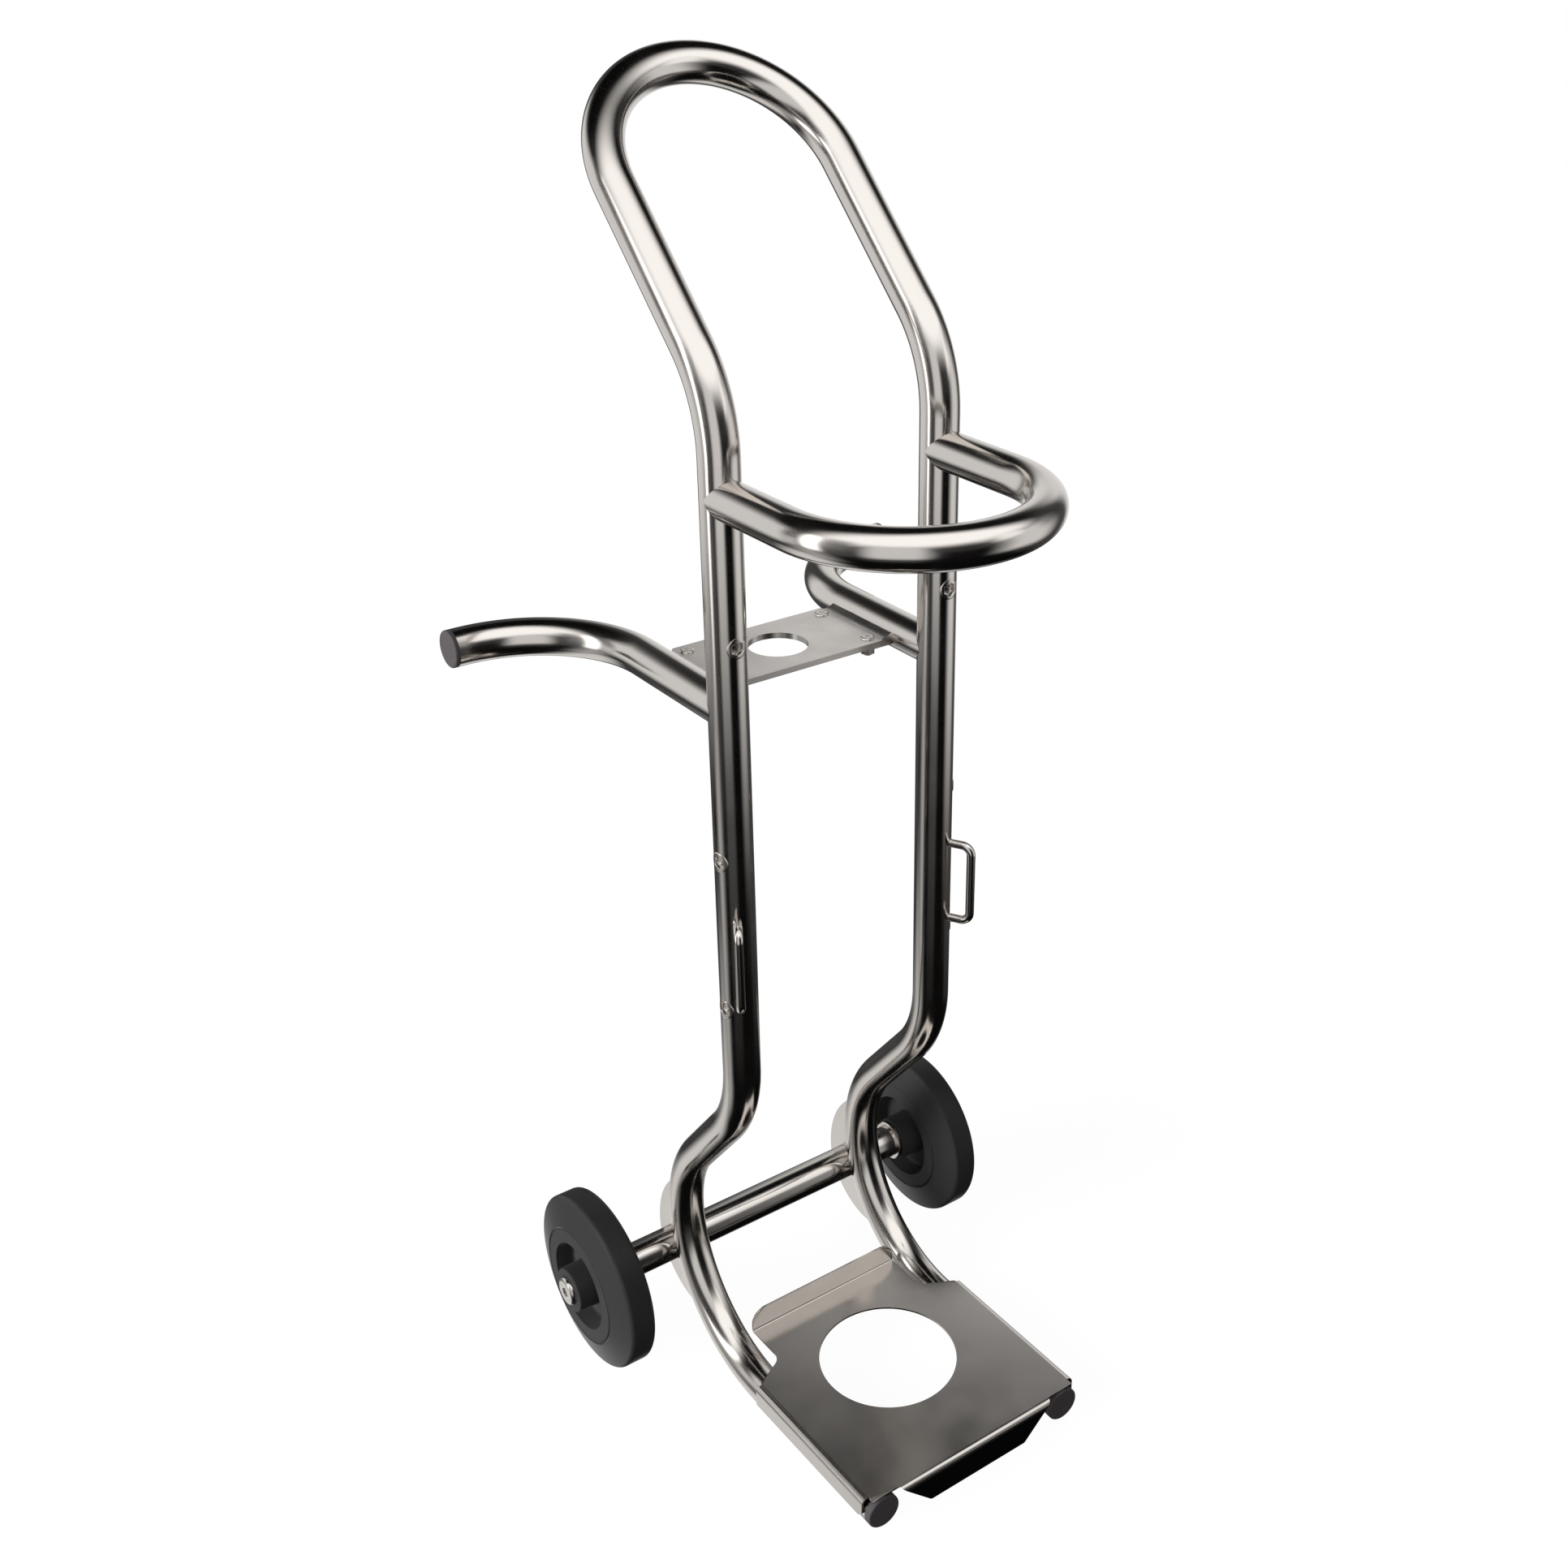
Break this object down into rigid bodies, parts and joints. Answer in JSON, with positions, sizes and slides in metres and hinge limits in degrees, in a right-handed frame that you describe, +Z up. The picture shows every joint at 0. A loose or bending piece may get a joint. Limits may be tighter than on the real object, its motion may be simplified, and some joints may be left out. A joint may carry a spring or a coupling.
{
  "type": "gas bottle trolley",
  "caption": "Tall hand trolley of bent steel tube for a gas bottle: folded base plate, hoop round the bottle, arched handle, tail bars with accessory plate, solid rubber wheels.",
  "frame": {"origin": "on the floor, under the middle of the trolley's bounding box", "axes": "+X across to the right seen from behind the handle, -Y the front where the bottle stands, +Z up"},
  "size_m": [0.526, 0.542, 1.3618],
  "materials": {
    "polished_tube": "polished stainless tube",
    "satin_sheet": "satin stainless sheet",
    "polished_wire": "polished stainless wire",
    "bright_fasteners": "bright stainless, turned",
    "black_facing": "satin black, left bare",
    "grey_plug": "dark grey moulded plastic",
    "solid_rubber": "matt black rubber with fine grain",
    "black_moulding": "dark grey moulded plastic",
    "bush_plastic": "pale bearing plastic"
  },
  "bodies": {
    "frame": {"handle_tube": "polished_tube", "front_hoop": "polished_tube", "base_plate": "satin_sheet", "front_panel": "black_facing", "axle_tube": "polished_tube", "accessory_plate": "satin_sheet", "plate_screws": "bright_fasteners", "plate_nuts": "bright_fasteners", "threaded_inserts": "bright_fasteners", "side_tube_left": "polished_tube", "side_tube_right": "polished_tube", "tail_bar_left": "polished_tube", "tail_bar_right": "polished_tube", "gusset_left": "satin_sheet", "gusset_right": "satin_sheet", "strap_loop_left": "polished_wire", "strap_loop_right": "polished_wire", "plate_lug_left": "satin_sheet", "plate_lug_right": "satin_sheet", "tail_cap_left": "grey_plug", "tail_cap_right": "grey_plug", "foot_cap_left": "grey_plug", "foot_cap_right": "grey_plug", "stub_axle_left": "bright_fasteners", "stub_axle_right": "bright_fasteners", "collar_washer_left": "bright_fasteners", "collar_washer_right": "bright_fasteners", "axle_screw_left": "bright_fasteners", "axle_screw_right": "bright_fasteners"},
    "wheel_left": {"tyre_left": "solid_rubber", "wheel_centre_left": "black_moulding", "hub_bushes_left": "bush_plastic"},
    "wheel_right": {"tyre_right": "solid_rubber", "wheel_centre_right": "black_moulding", "hub_bushes_right": "bush_plastic"}
  },
  "joints": [
    {"name": "wheel_left_spin", "type": "hinge", "parent": "frame", "child": "wheel_left", "pos_m": [-0.2217, 0.12473, 0.1], "axis": [1, 0, 0], "continuous": true},
    {"name": "wheel_right_spin", "type": "hinge", "parent": "frame", "child": "wheel_right", "pos_m": [0.2217, 0.12473, 0.1], "axis": [1, 0, 0], "continuous": true}
  ]
}
